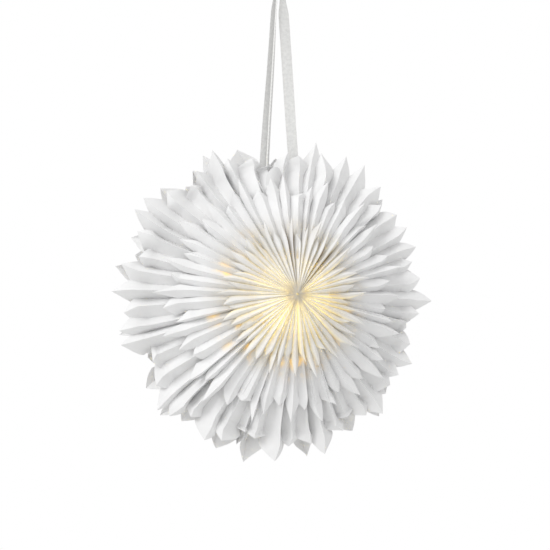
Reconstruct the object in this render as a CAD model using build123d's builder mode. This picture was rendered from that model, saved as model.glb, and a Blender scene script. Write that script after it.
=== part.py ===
from build123d import *
from math import cos, pi, radians, sin, sqrt, tan
import os

# All lengths are in millimetres. The origin is the middle of the ceiling
# plate's upper face, +Z is up, and the lantern's front faces -Y.

hang = 556.0  # ceiling down to the middle of the paper body
seat = 0.3  # gap where one piece rests on another

# Paper body
pleats = 53
pleats_per_leaf = 4
paper_axial = 0.8  # glued paper, measured along the body's front-to-back axis
hub_radius = 4.0  # where the leaves stop short of the axis
half_depth = 90.0  # middle plane to the front point
rim_gap = 0.15  # middle plane to the outer valleys' ends
edge_crown = 0.9  # roundness of a petal's side edge: 1 starts it along the ridge

# Outer petals
outer_reach = 226.0
outer_uneven = 34.0
outer_notch = 177.0
outer_fold = 0.100  # ridge stands this share of the radius above the valley
outer_knee = 5.0  # ridge bends this far inside the notch
outer_lift = 17.0  # tip's distance from the middle plane
ribbon_petal_reach = 192.0  # the shorter petals that the ribbons pass behind

# Middle petals
middle_reach = 172.0
middle_uneven = 28.0
middle_notch = 128.0
middle_notch_depth = 31.0
middle_fold = 0.080
middle_knee = 5.0
middle_lift = 33.5

# Inner petals
inner_reach = 104.0
inner_uneven = 24.0
inner_notch = 78.0
inner_notch_depth = 56.5
inner_fold = 0.075
inner_knee = 4.0
inner_lift = 61.5

hub_disc_radius = 12.0
hub_disc_thick = 0.8

# Card across the closing seam, and the ribbons glued to it
card_thick = 0.9
card_inner = 150.0
ribbon_width = 15.0
ribbon_thick = 0.4
ribbon_rim_radius = 182.0  # where the ribbon lies in the middle of its petal
ribbon_tail = 30.0  # how far it runs on inwards from there
ribbon_spread = 5.5  # from the middle, where it enters the knot
ribbon_turn = 45.0  # the left ribbon's half twist at the knot

# Knot and loop
knot_height = 24.0
knot_width = 26.0
knot_depth = 17.0
knot_above = 447.0  # paper body's middle up to the knot's middle
loop_cord = 3.8  # the gathered ribbon's diameter

# Ceiling hook
hook_wire = 4.0
hook_bend = 10.0
hook_bottom = 52.0  # ceiling down to the hook wire's middle at the bend
hook_offset_start = 27.0
hook_tip_rise = 4.0

# Ceiling plate and cup
plate_radius = 42.0
plate_thick = 2.0
screw_spacing = 56.0
screw_hole = 2.25
shank_clearance = 0.05
nut_flats = 8.0
nut_height = 3.2
cup_wall = 1.5
cup_skirt = 6.0
cup_height = 40.0
cup_mouth = 20.0
cup_clearance = 0.3

# Terminal block
block_x = -17.0
block_length = 16.0
block_width = 18.0
block_height = 13.0
block_screw = 1.6
relief_height = 5.0
relief_top = 3.4
relief_bottom = 2.2

# Power cord
cord = 2.4
cord_play = 0.15
shortest_bend_share = 0.45

# Lampholder, heights counted from the paper body's middle
holder_radius = 14.0
holder_foot = 25.0
holder_top = 60.0
holder_mouth = 11.2
holder_mouth_depth = 7.0
holder_bore = 9.0
holder_fit = 0.2
shell_inner = 7.05
contact_radius = 3.0
contact_thick = 1.0
cap_height = 20.0
cap_top_radius = 6.5
cap_wall = 1.6
grip_radius = 4.6
grip_height = 8.0
ring_outer = 19.0
ring_height = 8.0
ring_foot = 36.0

# Bulb
globe_radius = 22.5
globe_middle = -6.0
glass_wall = 0.8
neck_radius = 9.5
collar_foot = 20.0
collar_radius = 10.4
collar_height = 9.0
screw_radius = 6.75
screw_root = 6.25
screw_pitch = 2.82
screw_turns = 6
insulator_height = 2.5
tip_radius = 2.3
tip_height = 1.5
stem_radius = 3.0
stem_height = 14.0
filament_radius = 0.7
filament_length = 24.0
filament_circle = 6.0
filament_ring = 1.1
filament_count = 4

# Worked out from the above
pitch = 360 / pleats
leaves = (pleats - 1) // pleats_per_leaf
knot_bottom = knot_above - knot_height / 2
knot_top = -hang + knot_above + knot_height / 2
hook_radius = hook_wire / 2
loop_radius = hook_radius + seat + loop_cord / 2


class Tier:
    """One ring of petals, given by its valley, its ridge and its tips."""

    def __init__(self, step, notch, notch_depth, fold, knee, reach, uneven, lift):
        self.apex = half_depth - step * paper_axial
        self.notch = notch
        self.notch_depth = notch_depth
        self.valley_slope = (self.apex - notch_depth) / notch
        self.ridge_slope = self.valley_slope - fold
        self.knee = notch - knee
        self.reach = reach
        self.uneven = uneven
        self.lift = lift

    def valley(self, radius):
        return self.apex - self.valley_slope * radius

    def ridge(self, radius):
        return self.apex - self.ridge_slope * radius


inner = Tier(
    0, inner_notch, inner_notch_depth, inner_fold, inner_knee,
    inner_reach, inner_uneven, inner_lift,
)
middle = Tier(
    1, middle_notch, middle_notch_depth, middle_fold, middle_knee,
    middle_reach, middle_uneven, middle_lift,
)
outer = Tier(
    2, outer_notch, rim_gap, outer_fold, outer_knee,
    outer_reach, outer_uneven, outer_lift,
)


def at(radius, turn, y):
    """A point of the paper body, turn counted clockwise from the top."""
    angle = radians(turn)
    return Vector(radius * sin(angle), y, radius * cos(angle) - hang)


def tip_radius_of(tier, side, pleat):
    """Neighbouring petals differ in length, in a steady uneven order."""
    if tier is outer and side < 0 and pleat in (1, pleats - 1):
        return ribbon_petal_reach
    start = 0.30 if side < 0 else 0.72
    return tier.reach - tier.uneven * ((start + tier.notch + pleat * 0.618) % 1)


def facet(corners, side, crowned=False):
    """One flat piece of paper; a crowned one bulges on its last edge."""
    first, second, last = corners[0], corners[1], corners[-1]
    plane = Plane(
        origin=first, x_dir=second - first, z_dir=(second - first).cross(last - first)
    )
    flat = [plane.to_local_coords(corner) for corner in corners]
    flat = [Vector(corner.X, corner.Y) for corner in flat]
    with BuildSketch(plane) as outline:
        with BuildLine():
            if crowned:
                edge = flat[-1] - flat[-2]
                lean = edge.get_angle(flat[0] - flat[-2])
                crown = edge_crown * tan(radians(lean / 2)) / 2
                middle_point = (flat[-2] + flat[-1]) / 2 + Vector(edge.Y, -edge.X) * crown
                Polyline(flat[-1], *flat[:-1])
                ThreePointArc(flat[-2], middle_point, flat[-1])
            else:
                Polyline(*flat, close=True)
        make_face()
    return extrude(
        outline.sketch, amount=paper_axial, dir=(0, side, 0), mode=Mode.PRIVATE
    )


def petal(tier, side, pleat):
    """Two pleated facets and the two halves of the pointed end."""
    ridge_turn = pleat * pitch
    tip = at(tip_radius_of(tier, side, pleat), ridge_turn, side * tier.lift)
    knee = at(tier.knee, ridge_turn, side * tier.ridge(tier.knee))
    ridge_foot = at(hub_radius, ridge_turn, side * tier.ridge(hub_radius))
    facets = []
    for half in (-1, 1):
        valley_turn = ridge_turn + half * pitch / 2
        notch = at(tier.notch, valley_turn, side * tier.notch_depth)
        valley_foot = at(hub_radius, valley_turn, side * tier.valley(hub_radius))
        facets.append(facet([ridge_foot, knee, notch, valley_foot], side))
        facets.append(facet([knee, tip, notch], side, crowned=True))
    return facets


def save(part, name):
    part.label = name
    export_step(part, f"parts/{name}.step")


os.makedirs("parts", exist_ok=True)

# Paper leaves: four pleats each, and one closing pleat at the top
for side_name, side in (("front", -1), ("back", 1)):
    for leaf in range(leaves + 1):
        first = leaf * pleats_per_leaf - pleats_per_leaf + 1
        members = [0] if leaf == 0 else range(first, first + pleats_per_leaf)
        facets = []
        for tier in (inner, middle, outer):
            for pleat in members:
                facets += petal(tier, side, pleat)
        with BuildPart() as paper_leaf:
            add(facets)
        name = f"{side_name}_seam_leaf" if leaf == 0 else f"{side_name}_leaf_{leaf:02d}"
        save(paper_leaf.part, name)

    disc_depth = outer.valley(hub_disc_radius) - seat
    disc_plane = Plane(origin=(0, side * disc_depth, -hang), z_dir=(0, -side, 0))
    with BuildPart() as hub_disc:
        with BuildSketch(disc_plane):
            Circle(hub_disc_radius)
        extrude(amount=hub_disc_thick)
    save(hub_disc.part, f"{side_name}_hub_disc")

# Card across the seam, pinched between the outer valleys
card_outer = (outer.apex - card_thick / 2 - seat) / outer.valley_slope
card_turn = 1.5 * pitch
card_plane = Plane(origin=(0, -card_thick / 2, -hang), x_dir=(1, 0, 0), z_dir=(0, 1, 0))


def card_point(radius, turn):
    point = card_plane.to_local_coords(at(radius, turn, -card_thick / 2))
    return (point.X, point.Y)


with BuildPart() as seam_card:
    with BuildSketch(card_plane):
        with BuildLine():
            ThreePointArc(
                card_point(card_outer, -card_turn),
                card_point(card_outer, 0),
                card_point(card_outer, card_turn),
            )
            Line(card_point(card_outer, card_turn), card_point(card_inner, card_turn))
            ThreePointArc(
                card_point(card_inner, card_turn),
                card_point(card_inner, 0),
                card_point(card_inner, -card_turn),
            )
            Line(card_point(card_inner, -card_turn), card_point(card_outer, -card_turn))
        make_face()
    extrude(amount=card_thick)
save(seam_card.part, "seam_card")

# Ribbons: flat on the card, then straight up to the knot
ribbon_y = -card_thick / 2 - ribbon_thick / 2
rim_x = ribbon_rim_radius * sin(radians(pitch))
rim_z = ribbon_rim_radius * cos(radians(pitch))
ribbon_lean = (rim_x - ribbon_spread) / (knot_bottom - rim_z)
for side_name, side, twist in (("left", -1, ribbon_turn), ("right", 1, 0)):
    stations = (
        (rim_z - ribbon_tail, rim_x + ribbon_lean * ribbon_tail, 0),
        (rim_z, rim_x, 0),
        (knot_bottom - seat, ribbon_spread, twist),
    )
    with BuildPart() as ribbon:
        for height, offset, turned in stations:
            with BuildSketch(Plane.XY.offset(height - hang)):
                with Locations(Location((side * offset, ribbon_y), turned)):
                    Rectangle(ribbon_width, ribbon_thick)
        loft(ruled=True)
    save(ribbon.part, f"ribbon_{side_name}")

# Knot
with BuildPart() as ribbon_knot:
    for share, wide, deep in ((0, 0.72, 0.62), (0.5, 1, 1), (1, 0.78, 0.66)):
        with BuildSketch(Plane.XY.offset(knot_bottom - hang + share * knot_height)):
            RectangleRounded(
                knot_width * wide, knot_depth * deep, 0.3 * knot_depth
            )
    loft()
save(ribbon_knot.part, "ribbon_knot")

# Loop of gathered ribbon over the hook wire
with BuildPart() as hanging_loop:
    with BuildLine() as loop_line:
        Line((0, loop_radius, knot_top), (0, loop_radius, -hook_bottom))
        ThreePointArc(
            (0, loop_radius, -hook_bottom),
            (0, 0, -hook_bottom + loop_radius),
            (0, -loop_radius, -hook_bottom),
        )
        Line((0, -loop_radius, -hook_bottom), (0, -loop_radius, knot_top))
    with BuildSketch(Plane(origin=loop_line.line @ 0, z_dir=loop_line.line % 0)):
        Circle(loop_cord / 2)
    sweep()
save(hanging_loop.part, "hanging_loop")

# Ceiling plate
with BuildPart() as ceiling_plate:
    with BuildSketch():
        Circle(plate_radius)
        Circle(hook_radius + shank_clearance, mode=Mode.SUBTRACT)
        with GridLocations(0, screw_spacing, 1, 2):
            Circle(screw_hole, mode=Mode.SUBTRACT)
    extrude(amount=-plate_thick)
save(ceiling_plate.part, "ceiling_plate")

# Hook: straight shank, offset to one side, open bend
bend_height = hook_bottom - hook_bend
offset_end = bend_height - hook_offset_start
with BuildPart() as ceiling_hook:
    with BuildLine(Plane.XZ) as hook_line:
        FilletPolyline(
            (0, -seat),
            (0, -hook_offset_start),
            (-hook_bend, -hook_offset_start - 0.6 * offset_end),
            (-hook_bend, -bend_height),
            radius=(hook_bend / 2, hook_bend / 2),
        )
        ThreePointArc(
            (-hook_bend, -bend_height), (0, -hook_bottom), (hook_bend, -bend_height)
        )
        Line((hook_bend, -bend_height), (hook_bend, -bend_height + hook_tip_rise))
    with BuildSketch(Plane(origin=hook_line.line @ 0, z_dir=hook_line.line % 0)):
        Circle(hook_radius)
    sweep()
save(ceiling_hook.part, "ceiling_hook")

with BuildPart() as hook_nut:
    with BuildSketch(Plane.XY.offset(-plate_thick)):
        RegularPolygon(nut_flats / 2, 6, major_radius=False)
        Circle(hook_radius + shank_clearance, mode=Mode.SUBTRACT)
    extrude(amount=-nut_height)
save(hook_nut.part, "hook_nut")

# Cup that hides the plate, open at the mouth for the hook and the cord
cup_inner = plate_radius + cup_clearance
with BuildPart() as ceiling_cup:
    with BuildSketch(Plane.XZ):
        with BuildLine():
            Line((cup_inner, -seat), (cup_inner, -cup_skirt))
            Spline(
                (cup_inner, -cup_skirt),
                (cup_mouth + 0.42 * (cup_inner - cup_mouth), -0.55 * cup_height),
                (cup_mouth, -cup_height),
                tangents=((0, -1), (-0.25, -1)),
            )
            Line((cup_mouth, -cup_height), (cup_mouth + cup_wall, -cup_height))
            Spline(
                (cup_mouth + cup_wall, -cup_height),
                (cup_mouth + 0.42 * (cup_inner - cup_mouth) + cup_wall, -0.55 * cup_height),
                (cup_inner + cup_wall, -cup_skirt),
                tangents=((0.25, 1), (0, 1)),
            )
            Line((cup_inner + cup_wall, -cup_skirt), (cup_inner + cup_wall, -seat))
            Line((cup_inner + cup_wall, -seat), (cup_inner, -seat))
        make_face()
    revolve(axis=Axis.Z)
save(ceiling_cup.part, "ceiling_cup")

# Terminal block under the plate, its screws and the cord's strain relief
block_bottom = -plate_thick - block_height
with BuildPart() as terminal_block:
    with BuildSketch(Plane.XY.offset(-plate_thick)):
        with Locations((block_x, 0)):
            RectangleRounded(block_length, block_width, 1.5)
    extrude(amount=-block_height)
    with BuildSketch(Plane.XZ.offset(block_width / 2)):
        with Locations((block_x, -plate_thick - block_height / 2)):
            with GridLocations(block_length / 2, 0, 2, 1):
                Circle(block_screw + seat)
    extrude(amount=-block_screw * 2, mode=Mode.SUBTRACT)
save(terminal_block.part, "terminal_block")

with BuildPart() as terminal_screws:
    with BuildSketch(Plane.XZ.offset(block_width / 2 - block_screw * 2)):
        with Locations((block_x, -plate_thick - block_height / 2)):
            with GridLocations(block_length / 2, 0, 2, 1):
                Circle(block_screw)
    extrude(amount=block_screw)
save(terminal_screws.part, "terminal_screws")

with BuildPart() as strain_relief:
    with BuildSketch(Plane.XY.offset(block_bottom)):
        with Locations((block_x, 0)):
            Circle(relief_top)
    with BuildSketch(Plane.XY.offset(block_bottom - relief_height)):
        with Locations((block_x, 0)):
            Circle(relief_bottom)
    loft()
    with BuildSketch(Plane.XY.offset(block_bottom)):
        with Locations((block_x, 0)):
            Circle(cord / 2 + cord_play)
    extrude(amount=-relief_height, mode=Mode.SUBTRACT)
save(strain_relief.part, "strain_relief")


def bend_radii(points):
    """The largest arc that both runs at each corner leave room for."""
    radii = []
    for before, corner, after in zip(points, points[1:], points[2:]):
        first = Vector(corner) - Vector(before)
        second = Vector(after) - Vector(corner)
        turn = first.get_angle(second)
        shorter = min(first.length, second.length)
        radii.append(shortest_bend_share * shorter / tan(radians(turn / 2)))
    return radii


def cord_stretch(name, points):
    radii = bend_radii(points)
    print(name, "bend radii", [round(radius) for radius in radii])
    with BuildPart() as stretch:
        with BuildLine() as route:
            FilletPolyline(*points, radius=radii)
        with BuildSketch(Plane(origin=route.line @ 0, z_dir=route.line % 0)):
            Circle(cord / 2)
        sweep()
    swept = pi * (cord / 2) ** 2 * route.wire().length
    print(name, "volume share", round(stretch.part.volume / swept, 4))
    save(stretch.part, name)


# Power cord: down beside the hook, through the knot, over the left ribbon
# and between the petals to the lampholder
cord_stretch(
    "power_cord_upper",
    [
        (block_x, 0, block_bottom),
        (block_x, 0, -30),
        (-15.4, 0.3, -45),
        (-14.8, -0.3, -60),
        (-10.6, -0.2, -74),
        (-8.0, 0, -85),
        (-8.0, 0, knot_top + seat),
    ],
)
cord_end = holder_top + cap_height + grip_height
cord_stretch(
    "power_cord_lower",
    [
        (-4.0, -5.0, knot_bottom - seat - hang),
        (-18.8, -4.4, 196 - hang),
        (-18.4, -3.6, 172 - hang),
        (-12.6, -2.6, 148 - hang),
        (-4.6, -1.0, 127 - hang),
        (0, 0, 108 - hang),
        (0, 0, cord_end - hang),
    ],
)

# Lampholder
body_bottom = holder_foot - hang
with BuildPart() as holder_body:
    with BuildSketch(Plane.XY.offset(body_bottom)):
        Circle(holder_radius)
    extrude(amount=holder_top - holder_foot)
    with BuildSketch(Plane.XY.offset(body_bottom)):
        Circle(holder_mouth)
    extrude(amount=holder_mouth_depth, mode=Mode.SUBTRACT)
    with BuildSketch(Plane.XY.offset(body_bottom)):
        Circle(holder_bore)
    extrude(amount=holder_top - holder_foot, mode=Mode.SUBTRACT)
    chamfer(holder_body.edges().group_by(Axis.Z)[0].sort_by(SortBy.RADIUS)[-1], 0.8)
save(holder_body.part, "holder_body")

screw_foot = collar_foot + collar_height
screw_top = screw_foot + screw_pitch * screw_turns
bulb_top = screw_top + insulator_height + tip_height
contact_foot = bulb_top + seat
with BuildPart() as holder_shell:
    with BuildSketch(Plane.XY.offset(body_bottom + holder_mouth_depth)):
        Circle(holder_bore - holder_fit)
        Circle(shell_inner, mode=Mode.SUBTRACT)
    extrude(amount=contact_foot + contact_thick - holder_foot - holder_mouth_depth)
save(holder_shell.part, "holder_shell")

with BuildPart() as holder_contact:
    with BuildSketch(Plane.XY.offset(contact_foot - hang)):
        Circle(contact_radius)
    extrude(amount=contact_thick)
    chamfer(holder_contact.edges().group_by(Axis.Z)[0], contact_thick / 3)
save(holder_contact.part, "holder_contact")

with BuildPart() as holder_core:
    with BuildSketch(Plane.XY.offset(contact_foot + contact_thick - hang)):
        Circle(holder_bore - holder_fit)
    extrude(amount=holder_top - contact_foot - contact_thick)
save(holder_core.part, "holder_core")

with BuildPart() as holder_cap:
    with BuildSketch(Plane.XY.offset(holder_top - hang)):
        Circle(holder_radius)
    with BuildSketch(Plane.XY.offset(holder_top + cap_height / 2 - hang)):
        Circle(holder_radius - 1.2)
    with BuildSketch(Plane.XY.offset(holder_top + cap_height - hang)):
        Circle(cap_top_radius)
    loft()
    with BuildSketch(Plane.XY.offset(holder_top - hang)):
        Circle(holder_radius - cap_wall)
    with BuildSketch(Plane.XY.offset(holder_top + cap_height / 2 - hang)):
        Circle(holder_radius - 1.2 - cap_wall)
    with BuildSketch(Plane.XY.offset(holder_top + cap_height - cap_wall - hang)):
        Circle(cap_top_radius - cap_wall)
    loft(mode=Mode.SUBTRACT)
    with BuildSketch(Plane.XY.offset(holder_top + cap_height - hang)):
        Circle(cord / 2 + cord_play)
    extrude(amount=-3 * cap_wall, mode=Mode.SUBTRACT)
save(holder_cap.part, "holder_cap")

with BuildPart() as holder_cord_grip:
    with BuildSketch(Plane.XY.offset(holder_top + cap_height - hang)):
        Circle(grip_radius)
    extrude(amount=grip_height)
    fillet(holder_cord_grip.edges().group_by(Axis.Z)[-1], 1.2)
save(holder_cord_grip.part, "holder_cord_grip")

with BuildPart() as holder_ring:
    with BuildSketch(Plane.XY.offset(ring_foot - hang)):
        Circle(ring_outer)
        Circle(holder_radius + seat, mode=Mode.SUBTRACT)
    extrude(amount=ring_height)
    fillet(holder_ring.edges().filter_by(GeomType.CIRCLE).group_by(SortBy.RADIUS)[-1], 1.5)
save(holder_ring.part, "holder_ring")

# Bulb: glass globe with a neck
neck_join = sqrt(globe_radius**2 - neck_radius**2) + globe_middle
inner_globe = globe_radius - glass_wall
inner_neck = neck_radius - glass_wall
inner_join = sqrt(inner_globe**2 - inner_neck**2) + globe_middle
glass_plane = Plane(origin=(0, 0, -hang), x_dir=(1, 0, 0), z_dir=(0, -1, 0))
with BuildPart() as bulb_glass:
    with BuildSketch(glass_plane):
        with BuildLine():
            ThreePointArc(
                (0, globe_middle - globe_radius),
                (globe_radius * cos(radians(10)), globe_middle - globe_radius * sin(radians(10))),
                (neck_radius, neck_join),
            )
            Line((neck_radius, neck_join), (neck_radius, collar_foot))
            Line((neck_radius, collar_foot), (inner_neck, collar_foot))
            Line((inner_neck, collar_foot), (inner_neck, inner_join))
            ThreePointArc(
                (inner_neck, inner_join),
                (inner_globe * cos(radians(10)), globe_middle - inner_globe * sin(radians(10))),
                (0, globe_middle - inner_globe),
            )
            Line((0, globe_middle - inner_globe), (0, globe_middle - globe_radius))
        make_face()
    revolve(axis=Axis((0, 0, -hang), (0, 0, 1)))
save(bulb_glass.part, "bulb_glass")

with BuildPart() as bulb_stem:
    with BuildSketch(Plane.XY.offset(collar_foot - hang)):
        Circle(stem_radius)
    extrude(amount=-stem_height, taper=6)
save(bulb_stem.part, "bulb_stem")

filament_top = collar_foot - stem_height - seat
with BuildPart() as bulb_filaments:
    with BuildSketch(Plane.XY.offset(filament_top - hang)):
        with PolarLocations(filament_circle, filament_count):
            Circle(filament_radius)
    extrude(amount=-filament_length)
    with BuildSketch(Plane.XY.offset(filament_top - hang)):
        Circle(filament_circle + filament_ring)
        Circle(filament_circle - filament_ring, mode=Mode.SUBTRACT)
        Rectangle(2 * filament_circle, filament_radius)
        Rectangle(filament_radius, 2 * filament_circle)
    extrude(amount=-filament_radius)
save(bulb_filaments.part, "bulb_filaments")

with BuildPart() as bulb_collar:
    with BuildSketch(Plane.XY.offset(collar_foot - hang)):
        Circle(collar_radius)
    with BuildSketch(Plane.XY.offset(screw_foot - hang)):
        Circle(screw_root)
    loft()
save(bulb_collar.part, "bulb_collar")

with BuildPart() as bulb_screw_shell:
    with BuildSketch(glass_plane):
        with BuildLine():
            ridges = [(0, screw_foot), (screw_root, screw_foot)]
            for turn in range(screw_turns):
                foot = screw_foot + turn * screw_pitch
                ridges.append((screw_radius, foot + screw_pitch * 0.4))
                ridges.append((screw_radius, foot + screw_pitch * 0.6))
                ridges.append((screw_root, foot + screw_pitch))
            ridges.append((0, screw_top))
            Polyline(*ridges, close=True)
        make_face()
    revolve(axis=Axis((0, 0, -hang), (0, 0, 1)))
save(bulb_screw_shell.part, "bulb_screw_shell")

with BuildPart() as bulb_insulator:
    with BuildSketch(Plane.XY.offset(screw_top - hang)):
        Circle(screw_root - 0.8)
    with BuildSketch(Plane.XY.offset(screw_top + insulator_height - hang)):
        Circle(tip_radius + 0.6)
    loft()
save(bulb_insulator.part, "bulb_insulator")

with BuildPart() as bulb_tip:
    with BuildSketch(Plane.XY.offset(screw_top + insulator_height - hang)):
        Circle(tip_radius)
    extrude(amount=tip_height)
    fillet(bulb_tip.edges().group_by(Axis.Z)[-1], tip_height / 2)
save(bulb_tip.part, "bulb_tip")
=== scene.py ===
import bmesh
import bpy
from math import atan2, cos, exp, hypot, pi, radians, sin
from mathutils import Matrix, Vector


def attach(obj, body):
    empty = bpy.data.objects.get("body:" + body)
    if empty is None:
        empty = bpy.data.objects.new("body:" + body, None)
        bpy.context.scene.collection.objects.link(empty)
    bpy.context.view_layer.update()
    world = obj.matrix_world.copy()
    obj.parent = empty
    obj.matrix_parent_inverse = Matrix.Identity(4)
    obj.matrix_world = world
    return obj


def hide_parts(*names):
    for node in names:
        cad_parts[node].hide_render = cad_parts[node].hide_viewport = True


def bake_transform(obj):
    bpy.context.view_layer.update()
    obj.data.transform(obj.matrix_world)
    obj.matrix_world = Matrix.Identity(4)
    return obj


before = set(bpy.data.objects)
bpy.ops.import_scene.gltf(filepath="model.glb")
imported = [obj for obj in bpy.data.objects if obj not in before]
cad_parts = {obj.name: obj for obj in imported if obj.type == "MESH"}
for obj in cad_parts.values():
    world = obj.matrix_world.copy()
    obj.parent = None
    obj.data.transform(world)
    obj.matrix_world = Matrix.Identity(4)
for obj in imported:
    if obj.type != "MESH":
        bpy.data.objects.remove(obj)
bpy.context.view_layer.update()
scene = bpy.context.scene

mm = 0.001
hang = 556 * mm  # ceiling down to the middle of the paper body
bodyMiddle = Vector((0, 0, -hang))


def linear(hexColour):
    # sRGB hex to the linear values that shaders want
    parts = [int(hexColour[i:i + 2], 16) / 255 for i in (1, 3, 5)]
    return [c / 12.92 if c < 0.04045 else ((c + 0.055) / 1.055) ** 2.4 for c in parts] + [1]


def addNode(tree, kind, inputs=(), **settings):
    # settings first, because some of them decide which inputs there are
    node = tree.nodes.new(kind)
    for name, value in settings.items():
        setattr(node, name, value)
    for name, value in dict(inputs).items():
        if isinstance(value, bpy.types.NodeSocket):
            tree.links.new(value, node.inputs[name])
        else:
            node.inputs[name].default_value = value
    return node


def wired(tree, kind, inputs=(), output=0, **settings):
    return addNode(tree, kind, inputs, **settings).outputs[output]


def mixed(tree, share, low, high):
    # between two numbers, or between two colours
    colour = isinstance(low, list) or getattr(low, "type", "") == "RGBA"
    sockets = {0: share, 6: low, 7: high} if colour else {0: share, 2: low, 3: high}
    kind, output = ("RGBA", 2) if colour else ("FLOAT", 0)
    return wired(tree, "ShaderNodeMix", sockets, output, data_type=kind)


def computed(tree, operation, *values):
    result = values[0]
    for value in values[1:]:
        result = wired(tree, "ShaderNodeMath", {0: result, 1: value}, operation=operation)
    return result


def ranged(tree, value, low, high, to=(0.0, 1.0)):
    return wired(tree, "ShaderNodeMapRange",
                 {"Value": value, "From Min": float(low), "From Max": float(high),
                  "To Min": to[0], "To Max": to[1]})


def noise(tree, place, scale, detail=2.0, roughness=0.5):
    return wired(tree, "ShaderNodeTexNoise", {"Vector": place, "Scale": scale, "Detail": detail,
                                              "Roughness": roughness})


def principled(tree, values):
    return wired(tree, "ShaderNodeBsdfPrincipled", values)


def bumped(tree, height, strength, deep=0.2):
    # a relief that is `deep` mm at full strength
    return wired(tree, "ShaderNodeBump",
                 {"Height": height, "Strength": strength, "Distance": deep * mm})


def newMaterial(name):
    material = bpy.data.materials.new(name)
    material.use_nodes = True
    material.node_tree.nodes.clear()
    return material, material.node_tree


def finished(material, surface):
    addNode(material.node_tree, "ShaderNodeOutputMaterial", {"Surface": surface})
    return material


def link(obj):
    scene.collection.objects.link(obj)
    return obj


def meshFrom(name, vertices, faces, smooth=True):
    mesh = bpy.data.meshes.new(name)
    mesh.from_pydata(vertices, [], faces)
    mesh.polygons.foreach_set("use_smooth", [smooth] * len(mesh.polygons))
    return mesh


def bakedSheet(obj, thickness):
    # the object's modifiers and its thickness in mm, worked into a plain mesh
    thick = obj.modifiers.new("thickness", "SOLIDIFY")
    thick.thickness, thick.offset = thickness * mm, 0
    link(obj)
    bpy.context.view_layer.update()
    shape = obj.evaluated_get(bpy.context.evaluated_depsgraph_get())
    mesh = bpy.data.meshes.new_from_object(shape)
    obj.modifiers.clear()
    obj.data = mesh
    return obj


def joined(name, objects):
    # several plain pieces made one; they share their materials
    form = bmesh.new()
    for obj in objects:
        form.from_mesh(obj.data)
    mesh = bpy.data.meshes.new(name)
    form.to_mesh(mesh)
    form.free()
    for material in objects[0].data.materials:
        mesh.materials.append(material)
    for obj in objects:
        bpy.data.objects.remove(obj)
    return link(bpy.data.objects.new(name, mesh))


# Camera: a little left of the lantern and a little below its middle
camera = {"azimuth": -15, "elevation": -6, "distance": 1.0, "picture": 550, "mmPerPixel": 1.376,
          "middleX": 279, "middleY": 299, "sensor": 36, "clipFrom": 0.05}


def makeCamera():
    turn, rise = radians(camera["azimuth"]), radians(camera["elevation"])
    away = Vector((sin(turn) * cos(rise), -cos(turn) * cos(rise), sin(rise)))
    right = Vector((cos(turn), sin(turn), 0))
    up = right.cross(-away)
    scale, half = camera["mmPerPixel"] * mm, camera["picture"] / 2
    aim = (bodyMiddle - right * (camera["middleX"] - half) * scale
           + up * (camera["middleY"] - half) * scale)
    data = bpy.data.cameras.new("photoCamera")
    data.sensor_width = camera["sensor"]
    data.lens = camera["sensor"] * camera["distance"] / (camera["picture"] * scale)
    data.clip_start = camera["clipFrom"]
    view = link(bpy.data.objects.new("photoCamera", data))
    view.location = aim + away * camera["distance"]
    view.rotation_euler = (-away).to_track_quat("-Z", "Y").to_euler()
    scene.camera = view


makeCamera()
print("camera placed")

# How routes become meshes: spacing of the points in mm, and the angle in degrees that stays sharp
routing = {"spacing": 0.7, "order": 3, "samples": 240, "sharpFrom": 50}


def splinePoints(route, spacing=routing["spacing"]):
    # points in metres along the smooth line that a route's points in mm control
    curve = bpy.data.curves.new("routeLine", "CURVE")
    curve.dimensions = "3D"
    spline = curve.splines.new("NURBS")
    spline.points.add(len(route) - 1)
    for point, place in zip(spline.points, route):
        point.co = (*(c * mm for c in place), 1)
    spline.order_u = routing["order"]
    spline.use_endpoint_u = True
    spline.resolution_u = routing["samples"]
    holder = bpy.data.objects.new("routeLine", curve)
    line = [v.co.copy() for v in bpy.data.meshes.new_from_object(holder).vertices]
    bpy.data.objects.remove(holder)
    kept = [line[0]]
    for point in line[1:-1]:
        if (point - kept[-1]).length > spacing * mm:
            kept.append(point)
    if (line[-1] - kept[-1]).length < 0.5 * spacing * mm:
        kept.pop()
    return kept + [line[-1]]


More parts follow.
